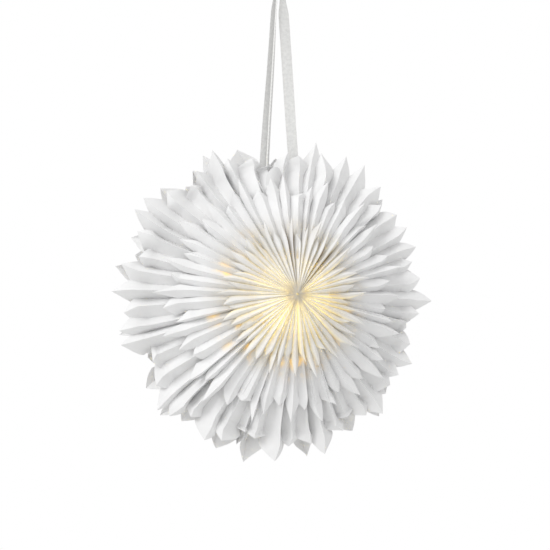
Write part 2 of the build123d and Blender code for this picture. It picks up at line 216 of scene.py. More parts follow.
def swept(name, path, section, sideways, closed=False):
    # section(share, distance) gives the outline's points in mm, across and deep, along the path
    count = len(path)
    frames, distances, travelled = [], [], 0
    across = Vector(sideways)
    for i, point in enumerate(path):
        if closed:
            ahead = path[(i + 1) % count] - path[i - 1]
        else:
            ahead = path[min(i + 1, count - 1)] - path[max(i - 1, 0)]
        ahead.normalize()
        across = (across - ahead * across.dot(ahead)).normalized()
        travelled += (point - path[i - 1]).length if i else 0
        frames.append((across.copy(), ahead.cross(across)))
        distances.append(travelled)
    vertices, girths = [], []
    for point, (u, v), distance in zip(path, frames, distances):
        outline = section(distance / travelled, distance / mm)
        girth, last = [], outline[0]
        for a, b in outline:
            girth.append((girth[-1] if girth else 0) + hypot(a - last[0], b - last[1]))
            last = (a, b)
            vertices.append(point + (u * a + v * b) * mm)
        closing = hypot(outline[0][0] - last[0], outline[0][1] - last[1])
        girths.append(girth + [girth[-1] + closing])
    width = len(girths[0]) - 1
    faces, places = [], []
    for row in range(count if closed else count - 1):
        after = (row + 1) % count
        start, end = distances[row], distances[after] if after else travelled
        for column in range(width):
            beside = (column + 1) % width
            faces.append((row * width + column, row * width + beside,
                          after * width + beside, after * width + column))
            places += [(girths[row][column], start), (girths[row][column + 1], start),
                       (girths[after][column + 1], end), (girths[after][column], end)]
    if not closed:
        last = (count - 1) * width
        faces += [tuple(reversed(range(width))), tuple(range(last, last + width))]
        places += [(0, 0)] * width + [(0, travelled)] * width
    mesh = meshFrom(name, vertices, faces)
    cloth = mesh.uv_layers.new(name="UVMap")  # in mm: round the piece, and along it
    for loop, (around, along) in zip(cloth.uv, places):
        loop.vector = (around, along / mm)
    form = bmesh.new()
    form.from_mesh(mesh)
    bmesh.ops.recalc_face_normals(form, faces=form.faces)
    form.to_mesh(mesh)
    form.free()
    mesh.set_sharp_from_angle(angle=radians(routing["sharpFrom"]))
    return link(bpy.data.objects.new(name, mesh))


def fullTurn(count):
    return [2 * pi * i / count for i in range(count)]


def smoothStep(t):
    t = min(max(t, 0), 1)
    return t * t * (3 - 2 * t)


# Free cords: the mains lead in two stretches, the two ribbons and their loop
lead = {"diameter": 2.4, "strand": 0.66, "strandSides": 8, "twistLength": 11,
        "upperLength": 82, "lowerLength": 351,
        "upper": [(-17, 0, -15), (-17, 0, -30), (-15.4, 0.3, -45), (-14.8, -0.3, -60),
                  (-10.6, -0.2, -74), (-8, 0, -85), (-8, 0, -96.7)],
        "lower": [(-4, -5, -121.3), (-18.8, -4.4, -360), (-18.4, -3.6, -384),
                  (-12.6, -2.6, -408), (-4.6, -1, -429), (0, 0, -448), (0, 0, -468)]}
sheathFinish = {"pale": "#F4F4F2", "dark": "#E9E9E6", "uneven": 4.0, "relief": 0.1,
                "roughness": 0.32, "ior": 1.53}


def sheathMaterial():
    # Soft PVC, extruded: white with a low gloss, and slightly uneven along its length
    material, tree = newMaterial("softSheath")
    place = wired(tree, "ShaderNodeTexCoord", output="Object")
    uneven = noise(tree, place, 1000 / sheathFinish["uneven"])
    tone = mixed(tree, uneven, linear(sheathFinish["pale"]), linear(sheathFinish["dark"]))
    skin = principled(tree, {"Base Color": tone, "Roughness": sheathFinish["roughness"],
                             "IOR": sheathFinish["ior"],
                             "Normal": bumped(tree, uneven, sheathFinish["relief"])})
    return finished(material, skin)


def leadStretch(name, route, nodeName, sheath):
    # two insulated strands laid round each other
    path = splinePoints(route)
    strands = []
    for phase in (0, pi):
        def strand(share, distance):
            turn = phase + 2 * pi * distance / lead["twistLength"]
            off = lead["diameter"] / 2 - lead["strand"]
            return [(off * cos(turn) + lead["strand"] * cos(t),
                     off * sin(turn) + lead["strand"] * sin(t))
                    for t in fullTurn(lead["strandSides"])]
        strands.append(swept(name, path, strand, (1, 0, 0)))
        strands[-1].data.materials.append(sheath)
    obj = joined(name, strands)
    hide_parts(nodeName)
    return obj


sheath = sheathMaterial()
leadUpper = leadStretch("leadUpper", lead["upper"], "power_cord_upper", sheath)
leadLower = leadStretch("leadLower", lead["lower"], "power_cord_lower", sheath)
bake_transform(leadUpper)
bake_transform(leadLower)

# In mm, apart from the shares: where the band gathers towards the knot, and how its cup varies
ribbonBand = {
    "width": 15, "thick": 0.45, "length": 284, "spacing": 2.0, "steps": 5, "rib": 1.5,
    "cup": 0.9, "cupMean": 0.6, "cupSwing": 0.4, "cupWave": 31, "cupPower": 1.5,
    "gathered": 0.42, "gatherFrom": 0.90, "gatherOver": 0.10,
    "tail": (23.57, -405.3), "rim": (21.52, -375.3), "top": (5.5, -121.3), "y": -0.65
}
# In degrees, at the tail, the rim and the knot
ribbonTurns = {"left": (4, 16, 48), "right": (30, 40, 4)}
weaveFinish = {
    "dark": "#C9C9C8", "pale": "#E6E6E4", "toneRange": (0.3, 0.7),
    "warpScale": 0.9, "warpDetail": 3.0, "warpRoughness": 0.7, "warpShare": 0.45,
    "patchScale": 0.22, "patchShare": 0.5, "relief": 0.6, "reliefDeep": 0.4,
    "roughness": 0.62, "sheen": 0.25
}


def ribbonMaterial():
    # Grosgrain, woven of white polyester: ribs run across the band, with a dull sheen; the ribs
    # are drawn 1.5 mm apart, where real ones are 1 mm, so that they show
    material, tree = newMaterial("grosgrainWeave")
    finish = weaveFinish
    places = wired(tree, "ShaderNodeUVMap", uv_map="UVMap")
    along = wired(tree, "ShaderNodeSeparateXYZ", {"Vector": places}, 1)
    phase = computed(tree, "MULTIPLY", along, 2 * pi / ribbonBand["rib"])
    wave = wired(tree, "ShaderNodeMath", {0: phase}, operation="SINE")
    warp = noise(tree, places, finish["warpScale"], finish["warpDetail"], finish["warpRoughness"])
    height = mixed(tree, finish["warpShare"], ranged(tree, wave, -1, 1), warp)
    ribShadeAndTone = mixed(tree, finish["patchShare"], height, noise(tree, places, finish["patchScale"]))
    # darker where the ribs dip, which is painted shade, with random tone from the warp and the
    # patches
    tone = mixed(tree, ranged(tree, ribShadeAndTone, *finish["toneRange"]),
                 linear(finish["dark"]), linear(finish["pale"]))
    bump = bumped(tree, height, finish["relief"], finish["reliefDeep"])
    cloth = principled(tree, {"Base Color": tone, "Roughness": finish["roughness"],
                              "Sheen Weight": finish["sheen"], "Normal": bump})
    return finished(material, cloth)


def makeRibbon(sideName, side, weave):
    band = ribbonBand
    (tailX, tailZ), (rimX, rimZ), (topX, topZ) = band["tail"], band["rim"], band["top"]
    route = [(side * tailX, band["y"], tailZ), (side * rimX, band["y"], rimZ),
             (side * (0.5 * rimX + 0.5 * topX), band["y"], 0.5 * (rimZ + topZ)),
             (side * topX, band["y"], topZ)]
    path = splinePoints(route, band["spacing"])
    turns = ribbonTurns[sideName]
    rimShare = (rimZ - tailZ) / (topZ - tailZ)
    thick = band["thick"] / 2

    def outline(share, distance):
        gather = smoothStep((share - band["gatherFrom"]) / band["gatherOver"])
        half = band["width"] / 2 * (1 - band["gathered"] * gather)
        if share < rimShare:
            turn = turns[0] + (turns[1] - turns[0]) * share / rimShare
        else:
            turn = turns[1] + (turns[2] - turns[1]) * (share - rimShare) / (1 - rimShare)
        turn = radians(-side * turn)
        cupping = band["cupMean"] + band["cupSwing"] * sin(distance / band["cupWave"] + side)
        crease = band["cup"] * cupping
        across = [half * i / band["steps"] for i in range(-band["steps"], band["steps"] + 1)]
        flat = [(a, crease * (abs(a) / half) ** band["cupPower"]) for a in across]
        ring = [(a, b + thick) for a, b in flat] + [(a, b - thick) for a, b in reversed(flat)]
        return [(a * cos(turn) - b * sin(turn), a * sin(turn) + b * cos(turn)) for a, b in ring]

    ribbon = swept(f"ribbon{sideName.title()}", path, outline, (1, 0, 0))
    ribbon.data.materials.append(weave)
    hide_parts(f"ribbon_{sideName}")
    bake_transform(ribbon)


weave = ribbonMaterial()
for sideName, side in (("left", -1), ("right", 1)):
    makeRibbon(sideName, side, weave)

gather = {"diameter": 3.8, "length": 102, "spacing": 0.9, "sides": 20, "lobes": 5,
          "lobeDepth": 0.16, "twistLength": 26,
          "route": [(0, 4.2, -96.9), (0, 4.2, -72), (0, 4.2, -52), (0, 3.9, -48.6), (0, 0, -47.3),
                    (0, -3.9, -48.6), (0, -4.2, -52), (0, -4.2, -72), (0, -4.2, -96.9)]}
# Each wrap has its half width, half depth, tilt, turn and middle
knotForm = {"top": -97.1, "foot": -121.1, "wide": 23.0, "deep": 14.0, "ends": 0.74, "gathers": 9,
            "rows": 14, "sides": 54, "band": 4.6, "bandThick": 1.15, "wrapPoints": 60,
            "wraps": [(12.4, 7.9, 4.4, 0.4, -107.6), (12.7, 8.2, -4.0, 0.9, -110.2)]}


def lobed(half, thick, turn, lobes=gather["lobes"], sides=gather["sides"]):
    # outline of a gathered ribbon: a flattened bundle with soft folds
    points = []
    for a in fullTurn(sides):
        fold = 1 - gather["lobeDepth"] * (1 - cos(lobes * a)) / 2
        points.append((half * fold * cos(a + turn), thick * fold * sin(a + turn)))
    return points


def makeLoop():
    path = splinePoints(gather["route"], gather["spacing"])
    radius = gather["diameter"] / 2

    def bundle(share, distance):
        return lobed(radius, radius, 2 * pi * distance / gather["twistLength"])

    loop = swept("hangingLoop", path, bundle, (1, 0, 0))
    loop.data.materials.append(weave)
    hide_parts("hanging_loop")
    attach(loop, "hanger")


def makeKnot():
    # both ribbons and the loop's ends in one overhand knot: gathered folds, two bands round them
    form = knotForm
    rise = [Vector((0, 0, form["foot"] + (form["top"] - form["foot"]) * i / form["rows"])) * mm
            for i in range(form["rows"] + 1)]

    def folds(share, distance):
        full = form["ends"] + (1 - form["ends"]) * sin(pi * share)
        return lobed(form["wide"] / 2 * full, form["deep"] / 2 * full, 0,
                     form["gathers"], form["sides"])

    def band(share, distance):
        return lobed(form["band"], form["bandThick"], 0)

    pieces = [swept("knotFolds", rise, folds, (1, 0, 0))]
    for wide, deep, tilt, turn, middle in form["wraps"]:
        path = [Vector((wide * cos(t), deep * sin(t), tilt * sin(t + turn) + middle)) * mm
                for t in fullTurn(form["wrapPoints"])]
        pieces.append(swept("knotWrap", path, band, (0, 0, 1), closed=True))
    for piece in pieces:
        piece.data.materials.append(weave)
    knot = joined("ribbonKnot", pieces)
    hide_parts("ribbon_knot")
    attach(knot, "hanger")


makeLoop()
makeKnot()
print("cords laid")

# Paper: 53 pleats a side in three tiers, all folded lines running to the hub
pleat = {"count": 53, "perLeaf": 4, "halfDepth": 90, "tierStep": 0.8, "paper": 0.3,
         "golden": 0.618, "hubFold": 3.2, "hubFoldReach": 38, "hubFoldFrom": 14,
         "hubFoldLeast": 0.12, "facetBow": 0.04, "openBy": 0.8, "crowding": 4.4, "ripples": 30.0,
         "halfColumns": 3, "sharpFrom": 22}
tiers = {
    "inner": {"step": 0, "from": 1.4, "reach": 117, "uneven": 38, "notch": 67, "notchDepth": 61.2,
              "fold": 0.075, "knee": 4, "lift": 60.5, "notchShift": 9, "openTo": 46,
              "cutFrom": 0.35},
    "middle": {"step": 1, "from": 48, "reach": 177, "uneven": 35, "notch": 128, "notchDepth": 31,
               "fold": 0.080, "knee": 5, "lift": 33.5, "notchShift": 10, "openTo": 48,
               "cutFrom": 0.38},
    "outer": {"step": 2, "from": 100, "reach": 226, "uneven": 34, "notch": 177, "notchDepth": 0.15,
              "fold": 0.100, "knee": 5, "lift": 17, "notchShift": 0, "openTo": 56,
              "cutFrom": 0.45},
}
pitch = 2 * pi / pleat["count"]
stemRows, tipRows = 9, 13  # rows of points from the hub to the notch, and on to the tip
# Each way in which petals differ has random numbers of its own
draws = {"Open": 1, "Swing": 2, "Lean": 3, "Roll": 4, "Lift": 5, "Curl": 6, "Stand": 7,
         "Notch Shift": 8}

# The front's outer petals differ most in length, and so are set one by one, clockwise from the top
frontReach = [
    203, 200, 226, 214, 223, 226, 217, 198, 210, 213, 215, 202, 206, 222, 203, 186, 197,
    210, 197, 196, 212, 199, 185, 198, 217, 200, 198, 216, 189, 184, 204, 213, 198, 215,
    221, 203, 192, 222, 220, 211, 226, 218, 199, 212, 228, 227, 210, 194, 205, 220, 203,
    196, 182
]
frontAim = {0: 7, 2: -9, 3: -14, 4: -6}  # how far some tips lean clockwise, in mm


def petalTemplate(tierName, side):
    # one petal at full reach, pointing up from the hub; x across, y out of the body
    tier = tiers[tierName]
    apex = pleat["halfDepth"] - tier["step"] * pleat["tierStep"]
    valleySlope = (apex - tier["notchDepth"]) / tier["notch"]
    ridgeSlope = valleySlope - tier["fold"]
    kneeRadius = tier["notch"] - tier["knee"]
    kneeDepth = apex - ridgeSlope * kneeRadius

    def drop(radius):
        near = min(1, pleat["hubFoldLeast"] + radius / pleat["hubFoldFrom"])
        steeper = pleat["hubFold"] * exp(-radius / pleat["hubFoldReach"])
        return near * (tier["fold"] * radius + steeper)

    notchHalf, notchDrop = tier["notch"] * sin(pitch / 2), drop(tier["notch"])
    facet, closedAngle = hypot(notchHalf, notchDrop), atan2(notchHalf, notchDrop)
    half = pleat["halfColumns"]
    columns = [i / half for i in range(-half, half + 1)]
    words = ("tipShare", "across", "crest", "lean", "stretch", "facet", "below")
    vertices, stored = [], {word: [] for word in words}
    for row in range(stemRows + tipRows):
        if row < stemRows:
            share = 0
            radius = tier["from"] + (tier["notch"] - tier["from"]) * row / (stemRows - 1)
            halfWidth, fold = radius * sin(pitch / 2), drop(radius)
        else:
            share = (row - stemRows + 1) / tipRows
            radius = tier["notch"] + share * (tier["reach"] - tier["notch"])
            left = facet * min(1, (1 - share) / (1 - tier["cutFrom"]))
            openness = smoothStep(share / pleat["openBy"])
            opened = closedAngle + (radians(tier["openTo"]) - closedAngle) * openness
            halfWidth, fold = left * sin(opened), left * cos(opened)
        ridge = apex - ridgeSlope * radius
        if radius > kneeRadius:
            along = (radius - kneeRadius) / (tier["reach"] - kneeRadius)
            ridge = kneeDepth + (tier["lift"] - kneeDepth) * along
        stem = (min(radius, tier["notch"]) - tier["from"]) / (tier["notch"] - tier["from"])
        for v in columns:
            bowed = abs(v) + pleat["facetBow"] * abs(v) * (1 - abs(v))
            x = v * halfWidth
            z = radius * cos(v * pitch / 2 * (1 - share))
            vertices.append((x * mm, side * (ridge - fold * bowed) * mm, z * mm))
            crest = 1 - abs(v)
            values = (share, x * mm, crest * fold * mm, crest * halfWidth * mm, stem * (1 - share),
                      v, float(tier["step"] > 0))
            for word, value in zip(words, values):
                stored[word].append(value)
    width = len(columns)
    faces = []
    for row in range(stemRows + tipRows - 1):
        for column in range(width - 1):
            a = row * width + column
            corners = (a, a + width, a + width + 1, a + 1)
            faces.append(corners if side < 0 else corners[::-1])
    mesh = meshFrom(f"petal_{tierName}", vertices, faces, False)
    for word in words:
        mesh.attributes.new(word, "FLOAT", "POINT").data.foreach_set("value", stored[word])
    return mesh


def pleatTree(sheetMaterial):
    # turns one petal into the pleats of a leaf, each with its own length, lean and lift
    tree = bpy.data.node_groups.new("pleatedLeaf", "GeometryNodeTree")
    perPleat = [f"{word} {i + 1}" for word in ("Cut", "Width", "Shoulder", "Aim")
                for i in range(pleat["perLeaf"])]
    kinds = {"Geometry": "Geometry", "First Pleat": "Int", "Pleats": "Int", "Seed": "Int"}
    for name in ("Geometry", "First Pleat", "Pleats", "Pitch", "Side", "Swing", "Lift", "Roll",
                 "Overlap", "Open", "Curl", "Ripple", "Lean", "Stand", "Notch Shift", "Stray",
                 "Notch", "Slope", "Seed", *perPleat):
        tree.interface.new_socket(name, in_out="INPUT",
                                  socket_type=f"NodeSocket{kinds.get(name, 'Float')}")
    tree.interface.new_socket("Geometry", in_out="OUTPUT", socket_type="NodeSocketGeometry")
    given = addNode(tree, "NodeGroupInput").outputs

    def math(operation, *values):
        return computed(tree, operation, *values)

    index = wired(tree, "GeometryNodeInputIndex")

    def chosen(word):
        # the value that was given for this pleat of the leaf
        pick = addNode(tree, "GeometryNodeIndexSwitch", data_type="FLOAT")
        while len(pick.index_switch_items) < pleat["perLeaf"]:
            pick.index_switch_items.new()
        tree.links.new(index, pick.inputs["Index"])
        for i in range(pleat["perLeaf"]):
            tree.links.new(given[f"{word} {i + 1}"], pick.inputs[i + 1])
        return pick.outputs[0]

    number = math("ADD", index, given["First Pleat"])
    points = wired(tree, "GeometryNodeMeshLine",
                   {"Count": given["Pleats"], "Offset": (0, 0, 0)})
    for name, value in (("pleat", number), ("cut", chosen("Cut")), ("width", chosen("Width")),
                        ("shoulder", chosen("Shoulder")), ("aim", chosen("Aim"))):
        points = wired(tree, "GeometryNodeStoreNamedAttribute",
                       {"Geometry": points, "Name": name, "Value": value},
                       data_type="FLOAT", domain="POINT")
    turned = wired(tree, "ShaderNodeCombineXYZ",
                   {"Y": math("MULTIPLY", number, given["Pitch"])})
    ring = wired(tree, "GeometryNodeInstanceOnPoints",
                 {"Points": points, "Instance": given["Geometry"], "Rotation": turned})
    solid = wired(tree, "GeometryNodeRealizeInstances", {"Geometry": ring})
    mine, cut, width, shoulder, aim, share, across, crest, lean, stretch = (
        wired(tree, "GeometryNodeInputNamedAttribute", {"Name": name}, data_type="FLOAT")
        for name in ("pleat", "cut", "width", "shoulder", "aim", "tipShare", "across", "crest",
                     "lean", "stretch"))

    def drawn(name, *factors):
        # the input of this name times a random number from -1 to 1, one for each pleat
        seed = math("ADD", given["Seed"], float(draws[name]))
        luck = wired(tree, "FunctionNodeRandomValue",
                     {2: -1.0, 3: 1.0, "ID": mine, "Seed": seed}, 1, data_type="FLOAT")
        return math("MULTIPLY", luck, given[name], *factors)

    shareSquared = math("MULTIPLY", share, share)
    # 0 at the notch and the tip, 1 halfway
    bulge = math("MULTIPLY", share, math("SUBTRACT", 1.0, share), 4.0)
    slid = drawn("Notch Shift", stretch)  # the notch lies further in or out
    radial = math("ADD", math("MULTIPLY", cut, share, -1.0), slid)
    blunt = math("MULTIPLY", shoulder, shareSquared)
    broader = math("ADD", drawn("Open", bulge), blunt, math("DIVIDE", slid, given["Notch"]),
                   math("SUBTRACT", width, 1.0))
    sideways = math("ADD", drawn("Swing", shareSquared), math("MULTIPLY", across, broader),
                    drawn("Lean", lean), math("MULTIPLY", aim, shareSquared))
    rolled = math("MULTIPLY", math("ADD", drawn("Roll"), given["Overlap"]), share, across)
    waves = wired(tree, "ShaderNodeTexNoise", {"Scale": pleat["ripples"], "Detail": 1.0})
    rippled = math("MULTIPLY", math("SUBTRACT", waves, 0.5), given["Ripple"], share)
    sunk = math("MULTIPLY", slid, given["Slope"], -1.0)
    raised = math("ADD", rolled, drawn("Lift", share), drawn("Curl", shareSquared),
                  drawn("Stand", crest), rippled, sunk)
    offset = wired(tree, "ShaderNodeCombineXYZ",
                   {"X": sideways, "Y": math("MULTIPLY", raised, given["Side"]), "Z": radial})
    aligned = wired(tree, "ShaderNodeVectorRotate",
                    {"Vector": offset, "Angle": math("MULTIPLY", mine, given["Pitch"])},
                    rotation_type="Y_AXIS")
    moved = wired(tree, "GeometryNodeSetPosition", {"Geometry": solid, "Offset": aligned})
    # the pleats aren't quite evenly spread round the hub
    spot = wired(tree, "GeometryNodeInputPosition")
    level = wired(tree, "ShaderNodeVectorMath", {0: spot, 1: (1, 0, 1)}, operation="MULTIPLY")
    bearing = wired(tree, "ShaderNodeVectorMath", {0: level}, operation="NORMALIZE")
    crowding = math("SUBTRACT", noise(tree, bearing, pleat["crowding"], 1.0), 0.5)
    around = wired(tree, "ShaderNodeVectorMath", {0: level, 1: (0, 1, 0)},
                   operation="CROSS_PRODUCT")
    strayed = wired(tree, "ShaderNodeVectorMath",
                    {0: around, "Scale": math("MULTIPLY", crowding, given["Stray"])},
                    operation="SCALE")
    moved = wired(tree, "GeometryNodeSetPosition", {"Geometry": moved, "Offset": strayed})
    dressed = wired(tree, "GeometryNodeSetMaterial",
                    {"Geometry": moved, "Material": sheetMaterial})
    addNode(tree, "NodeGroupOutput", {"Geometry": dressed})
    return tree


def setInputs(modifier, tree, values):
    identifiers = {item.name: item.identifier for item in tree.interface.items_tree
                   if item.in_out == "INPUT"}
    for name, value in values.items():
        modifier[identifiers[name]] = value


# Grain, cloud, patch and layer are sizes in mm
paperFinish = {
    # the brown of the open joint is painted shade, and the warm colour beside it is painted light
    "face": "#F6F6F6", "paintedJointShade": "#6E5233", "paintedWarmth": "#EFD08A",
    "throughNear": "#FFF6DC", "throughFar": "#FAFAF9", "roughness": 0.82,
    "specular": 0.25, "relief": 0.22, "fibre": 0.9, "fibreDetail": 3.0,
    "fibreRoughness": 0.65, "grain": 5.0, "cloud": 14, "patch": 24, "layer": 30,
    # how the painted glow varies from pleat to pleat, and its strength in the patches and in the
    # joint
    "pleatStep": 0.29, "pleatBlend": 0.45, "paintedPatchGlow": 0.8, "glowInJointShade": 0.15,
    "lowerLeft": (-0.62, 0, -0.78)
}
# How the paper answers to something: the two ends that are looked at, and what each end gives.
# Sides and valleys run from -1 to 1 across a pleat, and distances from the hub are in mm
paperRamps = {
    # the first two give the painted shade in the valleys near the hub
    "valleyShadeFades": (60, 110), "valleyShadeAcross": (0.55, 1.0, (1.0, 0.60)),
    "mottle": (0.25, 0.75, (0.955, 1.0)),
    # painted shade where the joint lies open
    "jointShadePleat": (0.97, 0.92), "jointShadeSide": (0.25, 0.75), "jointShadeFades": (92, 76),
    # painted glow: streaks near the hub, patches at the lower left, and the painted warm tint under
    # them
    "streakPleat": (0.25, 0.75, (0.25, 1.7)), "streakSide": (-0.2, 0.7, (0.25, 1.6)),
    "streakValley": (0.45, 1.0, (0.55, 2.4)), "streakTop": (0.55, 0.95, (1.0, 0.35)),
    "streakGrain": (0.35, 0.65, (0.6, 1.4)),
    "patchSpot": (0.46, 0.68), "patchBearing": (-60, 70, (0.1, 1.4)),
    "patchSide": (-0.3, 0.6, (0.0, 1.4)), "patchPleat": (0.38, 0.60, (0.1, 1.3)),
    "patchGrain": (0.35, 0.65, (0.5, 1.3)), "paintedPatchTint": (0.03, 0.6, (0.0, 0.75)),
    "throughFades": (100, 124), "layers": (0.38, 0.62, (0.65, 1.3)),
}
# How much light passes, at some distances from the hub in mm, for the inner tier and those below it
paperPasses = {"inner": [(0, 0.38), (22, 0.16), (60, 0.20), (112, 0.15)],
               "below": [(48, 0.90), (70, 0.26), (100, 0.18), (120, 0.08)]}
# The painted glow, an emission that stands in for light scattered between the sheets, in the same
# way
paintedPaperGlow = {"inner": [(0, 0.04), (5, 0.10), (14, 0.22), (32, 0.21), (50, 0.16), (70, 0.10),
                       (106, 0.0)],
             "below": [(52, 0.0), (64, 0.55), (88, 0.46), (116, 0.0)]}
paintedGlowColours = {"inner": "#FFE064", "below": "#FFCB55"}


def paperMaterial():
    # Uncoated wood-free paper, calendered: matt white, faint fibre cloud, lets warm light through
    # its glow, its warm patches and its darker valleys and joint are painted light and shade
    material, tree = newMaterial("uncoatedPaper")
    finish = paperFinish

    def ramp(name, value):
        return ranged(tree, value, *paperRamps[name])

    def times(*values):
        return computed(tree, "MULTIPLY", *values)

    def fromHub(stops):
        result = stops[0][1]
        for (start, _), (end, value) in zip(stops, stops[1:]):
            result = mixed(tree, ranged(tree, radius, start, end), result, value)
        return result

    def specks(size, detail=2.0, roughness=0.5):
        return noise(tree, place, 1000 / size, detail, roughness)

    def attribute(name):
        return wired(tree, "ShaderNodeAttribute", output="Fac", attribute_name=name)

    place = wired(tree, "ShaderNodeTexCoord", output="Object")
    flat = wired(tree, "ShaderNodeMapping",
                 {"Vector": place, "Location": (0, 0, hang * 1000), "Scale": (1000, 0, 1000)},
                 vector_type="POINT")
    radius = wired(tree, "ShaderNodeVectorMath", {0: flat}, "Value", operation="LENGTH")
    facet, pleatNumber, below = attribute("facet"), attribute("pleat"), attribute("below")
    valley = wired(tree, "ShaderNodeMath", {0: facet}, operation="ABSOLUTE")

    # the face: fibres and clouds, and painted shade that darkens the valleys near the hub
    fibre = specks(finish["fibre"], finish["fibreDetail"], finish["fibreRoughness"])
    mottle = mixed(tree, 0.5, fibre, specks(finish["cloud"]))
    paintedValleyShade = mixed(tree, ramp("valleyShadeFades", radius), ramp("valleyShadeAcross", valley), 1.0)
    face = wired(tree, "ShaderNodeMix",
                 {0: 1.0, 6: linear(finish["face"]), 7: times(ramp("mottle", mottle), paintedValleyShade)}, 2,
                 data_type="RGBA", blend_type="MULTIPLY")
    # the narrowed pleats leave a joint open; the shade in it is painted as a brown line on their
    # sides
    jointShade = times(ramp("jointShadePleat", attribute("width")), ramp("jointShadeSide", facet),
                  ramp("jointShadeFades", radius))
    face = mixed(tree, jointShade, face, linear(finish["paintedJointShade"]))
    bump = bumped(tree, fibre, finish["relief"])

    # the painted glow: the paper's own emission, in golden streaks near the hub and golden patches
    # further out at the lower left
    wander = wired(tree, "ShaderNodeTexNoise",
                   {"W": times(pleatNumber, finish["pleatStep"]), "Scale": 1.0},
                   noise_dimensions="1D")
    single = wired(tree, "ShaderNodeTexWhiteNoise", {"W": pleatNumber}, noise_dimensions="1D")
    steady = mixed(tree, finish["pleatBlend"], wander, single)
    bearing = wired(tree, "ShaderNodeVectorMath", {0: flat}, operation="NORMALIZE")
    rise = wired(tree, "ShaderNodeSeparateXYZ", {"Vector": bearing}, 2)
    grain = mixed(tree, 0.5, specks(finish["grain"]), fibre)
    paintedGlowStreak = times(ramp("streakPleat", steady), ramp("streakSide", facet),
                   ramp("streakValley", valley), ramp("streakTop", rise),
                   ramp("streakGrain", grain))
    lowerLeft = wired(tree, "ShaderNodeVectorMath", {0: flat, 1: finish["lowerLeft"]}, "Value",
                      operation="DOT_PRODUCT")
    paintedGlowPatches = times(ramp("patchSpot", specks(finish["patch"])), ramp("patchBearing", lowerLeft),
                    ramp("patchSide", facet), ramp("patchPleat", steady),
                    ramp("patchGrain", grain))
    paintedPatchGlow = times(fromHub(paintedPaperGlow["below"]), paintedGlowPatches)
    # painted light: the paper's own colour is warmed where the painted glow patches lie
    paintedWarmTint = times(below, ramp("paintedPatchTint", paintedPatchGlow))
    face = mixed(tree, paintedWarmTint, face, linear(finish["paintedWarmth"]))
    # painted light: the paper glows as though it were a lamp
    glow = mixed(tree, below, times(fromHub(paintedPaperGlow["inner"]), paintedGlowStreak),
                 times(paintedPatchGlow, finish["paintedPatchGlow"]))
    # the painted glow is dimmed within the joint's painted shade
    glow = times(glow, mixed(tree, jointShade, 1.0, finish["glowInJointShade"]))
    paintedGlowColour = mixed(tree, below, linear(paintedGlowColours["inner"]), linear(paintedGlowColours["below"]))
    front = principled(tree, {"Base Color": face, "Roughness": finish["roughness"],
                              "Specular IOR Level": finish["specular"], "Normal": bump,
                              "Emission Color": paintedGlowColour, "Emission Strength": glow})

    # the light that passes: warm near the hub, and less of it where sheets lie double
    through = mixed(tree, ramp("throughFades", radius), linear(finish["throughNear"]),
                    linear(finish["throughFar"]))
    back = wired(tree, "ShaderNodeBsdfTranslucent", {"Color": through, "Normal": bump})
    thin = mixed(tree, below, fromHub(paperPasses["inner"]), fromHub(paperPasses["below"]))
    passes = times(thin, ramp("layers", specks(finish["layer"], 1.0)))
    both = wired(tree, "ShaderNodeMixShader", {0: passes, 1: front, 2: back})
    return finished(material, both)


paper = paperMaterial()
leafTree = pleatTree(paper)
leafCount = (pleat["count"] - 1) // pleat["perLeaf"]
# How far petals stray from regular ones
unrest = {"Swing": 5.0 * mm, "Lift": 2.0 * mm, "Roll": 0.14, "Overlap": 0.05, "Open": 0.15,
          "Stray": 0.17, "Curl": 2.5 * mm, "Ripple": 2.0 * mm, "Lean": 0.36, "Stand": 0.30}
seeds = {"front": 11, "back": 51, "perTier": 17}
# Some inner petals beside the closing seam are narrower, and one outer petal there is wider
petalWidths = {("front", "inner", n): 0.90 for n in (52, 0, 5, 6)} | {("front", "outer", 2): 1.3}
lengthStart = {"front": 0.30, "back": 0.72}
leftShorter = 0.5  # how much of the inner petals' spread in length is lost at the far left
shoulders = {"back": 0.1, "front": 0.15, "lessRight": 0.12, "lessUp": 0.10}


def cutBack(sideName, tierName, number):
    # how much shorter a petal is than its tier's full reach
    tier = tiers[tierName]
    if (sideName, tierName) == ("front", "outer"):
        return tier["reach"] - frontReach[number]
    share = (lengthStart[sideName] + tier["notch"] + number * pleat["golden"]) % 1
    if (sideName, tierName) == ("front", "inner"):  # the shorter ones lie at the left
        share = 1 - (1 - share) * (1 - leftShorter * max(0, -sin(number * pitch)))
    return tier["uneven"] * share


def shoulderOf(sideName, number):
    # petals at the left and the lower left end bluntest, those at the upper right slimmest
    if sideName == "back":
        return shoulders["back"]
    turn = number * pitch
    return shoulders["front"] - shoulders["lessRight"] * sin(turn) - shoulders["lessUp"] * cos(turn)


# The petal where the fan was closed has rolled up, with a narrow tongue beside it
rolled = {"leaf": 13, "rows": 14, "columns": 16, "petals": [
    {"bearing": -5.2, "foot": 134, "tip": 179, "roll": (-78, 96), "footRadius": 8.5,
     "tipRadius": 11.5, "round": 16, "deep": 9, "out": 5, "lean": 3},
    {"bearing": -9.0, "foot": 132, "tip": 161, "roll": (-150, -38), "footRadius": 5.0,
     "tipRadius": 9.5, "round": 20, "deep": 15, "out": 12, "lean": -2}]}


